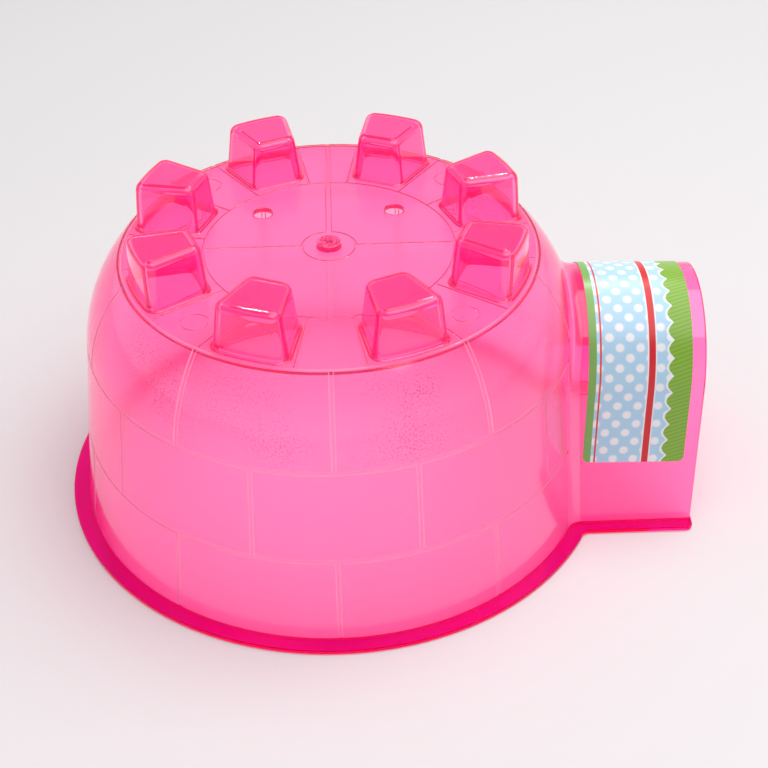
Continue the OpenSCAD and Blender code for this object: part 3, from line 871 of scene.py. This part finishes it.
# %% The label's sheet
def label_sheet(columns=14, corner_rows=7):
    """The wrapped sheet: its mesh in metres, with a UV map in millimetres and its back in slot 1."""
    side_long = (ARCH_Z - LABEL_Z) / math.cos(ARCH_LEAN) + ARCH_R * math.tan(ARCH_LEAN)
    corner = LABEL_CORNER_R * (1 - np.cos(np.linspace(0, math.pi / 2, corner_rows))) / side_long
    shares = np.concatenate([corner, np.linspace(corner[-1], 1, 10)[1:-1]])
    outer, _ = arch_section(LABEL_GAP + LABEL_T, LABEL_Z, 90, shares)
    inner, _ = arch_section(LABEL_GAP, LABEL_Z, 90, shares)
    run = np.concatenate([[0], np.cumsum(np.linalg.norm(np.diff(outer, axis=0), axis=1))])
    end = np.minimum(run, run[-1] - run)
    short = np.where(end < LABEL_CORNER_R,
                     LABEL_CORNER_R - np.sqrt(np.maximum(end * (2 * LABEL_CORNER_R - end), 0)), 0)
    x = short[:, None] + (LABEL_LEN - 2 * short)[:, None] * np.linspace(0, 1, columns)
    points, laid = [], []
    for section in (outer, inner):
        y, z = (np.repeat(section[:, k:k + 1], columns, axis=1) for k in (0, 1))
        points.append(from_tunnel(np.stack([x - LABEL_INSET - LABEL_LEN, y, z], -1)).reshape(-1, 3))
        laid.append(np.stack([x, np.repeat(run[:, None], columns, axis=1)], -1))
    points, laid = np.vstack(points), np.vstack(laid).reshape(-1, 2)
    place = np.arange(len(run) * columns).reshape(-1, columns)
    border = np.concatenate([place[0], place[1:, -1], place[-1, -2::-1], place[-2:0:-1, 0]])
    ahead = np.roll(border, -1)
    top = np.stack([place[:-1, :-1], place[:-1, 1:], place[1:, 1:], place[1:, :-1]], -1).reshape(-1, 4)
    side = np.stack([ahead, border, border + place.size, ahead + place.size], -1)
    mesh = bpy.data.meshes.new("entry_label_print")
    mesh.from_pydata(((points + [DOME_X, 0, 0]) * MM).tolist(), [],
                     np.vstack([top, top[:, ::-1] + place.size, side]).tolist())
    slots = np.repeat([0, 1, 0], [len(top), len(top), len(side)])
    layer = mesh.uv_layers.new(name="label_mm")
    corners = read_numbers(mesh.loops, "vertex_index", 1, np.int32)
    layer.data.foreach_set("uv", laid[corners].ravel())
    mesh.shade_smooth()
    mesh.set_sharp_from_angle(angle=math.radians(40))
    return mesh, slots, run[-1]


label_mesh, label_slots, LABEL_RUN = label_sheet()
print("label:", LABEL_LEN, "mm along the tunnel and", round(float(LABEL_RUN), 1), "mm round the arch")

# %% [markdown]
# The print is a plain pattern: pale blue with soft white dots, a scalloped green
# border towards the mouth with fine darker lines, a narrow green edge on the
# other side, and red lines between. The laminate gives it an even soft gloss.
# Seen from inside, through the plastic, the label shows its plain white back.

# %% The label's print
PAPER_IOR, PAPER_GRAIN, GRAIN_STRENGTH, GRAIN_DEPTH = 1.5, 1.2, 0.15, 0.05
DOT_PITCH, DOT_END, DOT_CORE = 5.6, 0.36, 0.24
SCALLOP_PITCH, SCALLOP_DEEP, LEAF_PITCH, LEAF_SLANT = 7.0, 2.2, 1.7, 0.35
# the bands' edges are this soft, and a band that runs off the label ends this far out
SOFT_EDGE, FAR = 0.12, 99.0
WHITE, SKY, LEAF, LEAF_DARK, EDGE_GREEN, RED, THIN_RED = (
    "#f6f7fb", "#b4dcf5", "#8cb93a", "#5f9440", "#7fb35a", "#d9202a", "#e03a38")
printed, tree = new_material("laminated_paper_label_printed")
sheet_place = add_node(tree, "ShaderNodeUVMap", uv_map="label_mm")
split = add_node(tree, "ShaderNodeSeparateXYZ", {"Vector": sheet_place})
u, v = split.outputs["X"], split.outputs["Y"]

dots_turned = add_node(tree, "ShaderNodeMapping",
                       {"Vector": sheet_place, "Rotation": (0, 0, math.radians(45))})
dots = add_node(tree, "ShaderNodeTexVoronoi",
                {"Vector": dots_turned, "Scale": 1 / DOT_PITCH, "Randomness": 0.0}, voronoi_dimensions="2D")
dot = add_node(tree, "ShaderNodeMapRange", {0: dots, 1: DOT_END, 2: DOT_CORE})
ink = add_node(tree, "ShaderNodeMix", {0: dot, 6: linear(SKY), 7: linear(WHITE)}, data_type="RGBA").outputs[2]

# the hem is u pushed forwards by half waves, so a straight print line comes out scalloped
turns = add_node(tree, "ShaderNodeMath", {0: v, 1: math.pi / SCALLOP_PITCH}, operation="MULTIPLY")
wave = add_node(tree, "ShaderNodeMath", {0: turns}, operation="SINE")
scallop = add_node(tree, "ShaderNodeMath", {0: wave}, operation="ABSOLUTE")
hem = add_node(tree, "ShaderNodeMath", {0: scallop, 1: SCALLOP_DEEP, 2: u}, operation="MULTIPLY_ADD")

slant = add_node(tree, "ShaderNodeMath", {0: u, 1: LEAF_SLANT, 2: v}, operation="MULTIPLY_ADD")
slant = add_node(tree, "ShaderNodeMath", {0: slant, 1: TAU / LEAF_PITCH}, operation="MULTIPLY")
slant = add_node(tree, "ShaderNodeMath", {0: slant}, operation="SINE")
dark = add_node(tree, "ShaderNodeMapRange", {0: slant, 1: 0.2, 2: 1.0, 4: 0.55})
leaf = add_node(tree, "ShaderNodeMix", {0: dark, 6: linear(LEAF), 7: linear(LEAF_DARK)}, data_type="RGBA")

# each band is printed over the ones before it: what is measured, its start, its end, its ink
for measured, start, end, colour in (
        (hem, 32.2, FAR, linear(WHITE)), (hem, 33.0, FAR, leaf.outputs[2]),
        (u, -FAR, 3.0, linear(EDGE_GREEN)), (u, 4.2, 4.9, linear(THIN_RED)),
        (u, 22.6, 26.2, linear(WHITE)), (u, 23.1, 25.7, linear(RED))):
    begun = add_node(tree, "ShaderNodeMapRange",
                     {0: measured, 1: start - SOFT_EDGE, 2: start + SOFT_EDGE})
    going = add_node(tree, "ShaderNodeMapRange", {0: measured, 1: end + SOFT_EDGE, 2: end - SOFT_EDGE})
    inside = add_node(tree, "ShaderNodeMath", {0: begun, 1: going}, operation="MULTIPLY")
    ink = add_node(tree, "ShaderNodeMix", {0: inside, 6: ink, 7: colour}, data_type="RGBA").outputs[2]
grain = add_node(tree, "ShaderNodeTexNoise",
                 {"Vector": sheet_place, "Scale": 1 / PAPER_GRAIN, "Detail": 3.0}, noise_dimensions="2D")
dimple = add_node(tree, "ShaderNodeBump",
                  {"Height": grain, "Strength": GRAIN_STRENGTH, "Distance": GRAIN_DEPTH * MM})
paper = add_node(tree, "ShaderNodeBsdfPrincipled",
                 {"Base Color": ink, "Roughness": 0.28, "IOR": PAPER_IOR, "Normal": dimple})
add_node(tree, "ShaderNodeOutputMaterial", {"Surface": paper})

backing, tree = new_material("paper_label_back")
plain = add_node(tree, "ShaderNodeBsdfPrincipled",
                 {"Base Color": linear(WHITE), "Roughness": 0.6, "IOR": PAPER_IOR})
add_node(tree, "ShaderNodeOutputMaterial", {"Surface": plain})
for material in (printed, backing):
    label_mesh.materials.append(material)
label_mesh.polygons.foreach_set("material_index", label_slots)
label_piece = add_object("entry_label_print", label_mesh)
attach(label_piece, "root")
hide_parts("entry_label")
print("print nodes:", len(printed.node_tree.nodes))

# %% [markdown]
# ## Floor, light and camera
# A big pale sheet carries the shadow. A soft white surround lights the part
# evenly, as a light tent does. A large softbox hangs above it, and two narrow
# strips stand behind it, high enough that only the rounded near edges of the
# blocks mirror them: those are the thin bright lines. The strips light the part
# alone, or the sheet behind it would turn plain white. What flat tops mirror is
# the room above the tent, which is dimmer than the tent itself.

# %% Floor
FLOOR_HEX, FLOOR_R, FLOOR_Z = "#fcfafb", 3.0, -0.2 * MM
floor_mesh = bpy.data.meshes.new("floor_sheet")
ring = [(FLOOR_R * math.cos(a), FLOOR_R * math.sin(a), FLOOR_Z)
        for a in np.linspace(0, TAU, 96, endpoint=False)]
floor_mesh.from_pydata(ring, [], [list(range(96))])
floor = add_object("floor_sheet", floor_mesh)
sheet, tree = new_material("matt_white_backdrop_sheet")
paper = add_node(tree, "ShaderNodeBsdfPrincipled",
                 {"Base Color": linear(FLOOR_HEX), "Roughness": 0.9, "Specular IOR Level": 0.1})
add_node(tree, "ShaderNodeOutputMaterial", {"Surface": paper})
floor_mesh.materials.append(sheet)
print("floor radius", FLOOR_R, "m")

# %% World and lamps
world = bpy.data.worlds.new("soft_white_surround")
bpy.context.scene.world = world
world.use_nodes = True
tree = world.node_tree
tree.nodes.clear()
SURROUND, BACKDROP_HEX, ROOM_HEX = 0.46, "#f3f0f1", "#9c9a9b"
rays = add_node(tree, "ShaderNodeLightPath").outputs
seen = rays["Is Camera Ray"]
for kind in ("Is Glossy Ray", "Is Transmission Ray"):
    seen = add_node(tree, "ShaderNodeMath", {0: seen, 1: rays[kind]}, operation="MAXIMUM")
light = add_node(tree, "ShaderNodeBackground", {"Color": (1, 1, 1, 1), "Strength": SURROUND})
# mirror rays that rise see the room; those that pass through plastic still see the tent
way = add_node(tree, "ShaderNodeTexCoord").outputs["Generated"]
rise = add_node(tree, "ShaderNodeSeparateXYZ", {"Vector": way}).outputs["Z"]
overhead = add_node(tree, "ShaderNodeMapRange", {0: rise, 1: 0.1, 2: 0.5})
glint = add_node(tree, "ShaderNodeMath", {0: rays["Is Glossy Ray"], 1: rays["Is Transmission Ray"]},
                 operation="SUBTRACT")
glint = add_node(tree, "ShaderNodeMath", {0: glint, 1: overhead}, operation="MULTIPLY", use_clamp=True)
room = add_node(tree, "ShaderNodeMix", {0: glint, 6: linear(BACKDROP_HEX), 7: linear(ROOM_HEX)},
                data_type="RGBA")
backdrop = add_node(tree, "ShaderNodeBackground", {"Color": room.outputs[2], "Strength": 1.0})
both = add_node(tree, "ShaderNodeMixShader", {0: seen, 1: light, 2: backdrop})
add_node(tree, "ShaderNodeOutputWorld", {"Surface": both})


def area_lamp(name, width, height, watts, place, lit=None):
    """A rectangular lamp that faces the part. lit: the only things that it lights."""
    light = bpy.data.lights.new(name, "AREA")
    light.shape = "RECTANGLE"
    light.size, light.size_y, light.energy = width, height, watts
    lamp = add_object(name, light)
    lamp.location = place
    lamp.rotation_euler = (-lamp.location).to_track_quat("-Z", "Y").to_euler()
    lamp.light_linking.receiver_collection = lit


shiny = bpy.data.collections.new("lit_by_strips")
for piece in (moulding, label_piece):
    shiny.objects.link(piece)
area_lamp("softbox", 1.5, 1.1, 10.5, (0.35, -0.08, 1.24))
area_lamp("strip_left", 0.12, 0.05, 3.8, (-0.2, 0.85, 1.15), shiny)
area_lamp("strip_right", 0.12, 0.05, 3.8, (0.24, 0.85, 1.15), shiny)
print("surround", SURROUND, "and", len(bpy.data.lights), "lamps")

# %% Camera
# found by fitting the dome's circles to their outlines in the photograph
AZIMUTH, ELEVATION, ROLL = (math.radians(v) for v in (-1.53, 37.2, -0.86))
CAMERA_PLACE, LENS = (6.49, -514.55, 431.73), 74.23
back = Vector((math.sin(AZIMUTH) * math.cos(ELEVATION), -math.cos(AZIMUTH) * math.cos(ELEVATION),
               math.sin(ELEVATION)))
side = (-back).cross(Vector((0, 0, 1))).normalized()
up = side.cross(-back)
right = math.cos(ROLL) * side + math.sin(ROLL) * up
top = -math.sin(ROLL) * side + math.cos(ROLL) * up
lens = bpy.data.cameras.new("photo_camera")
lens.sensor_width, lens.lens, lens.clip_start = 36.0, LENS, 0.01
camera = add_object("photo_camera", lens)
place = (Vector(CAMERA_PLACE) + Vector((DOME_X, 0, 0))) * MM
camera.matrix_world = Matrix.Translation(place) @ Matrix((right, top, back)).transposed().to_4x4()
bpy.context.scene.camera = camera
bpy.context.scene.view_settings.view_transform = "Standard"
print("camera", [round(v, 3) for v in place], "lens", LENS, "mm")
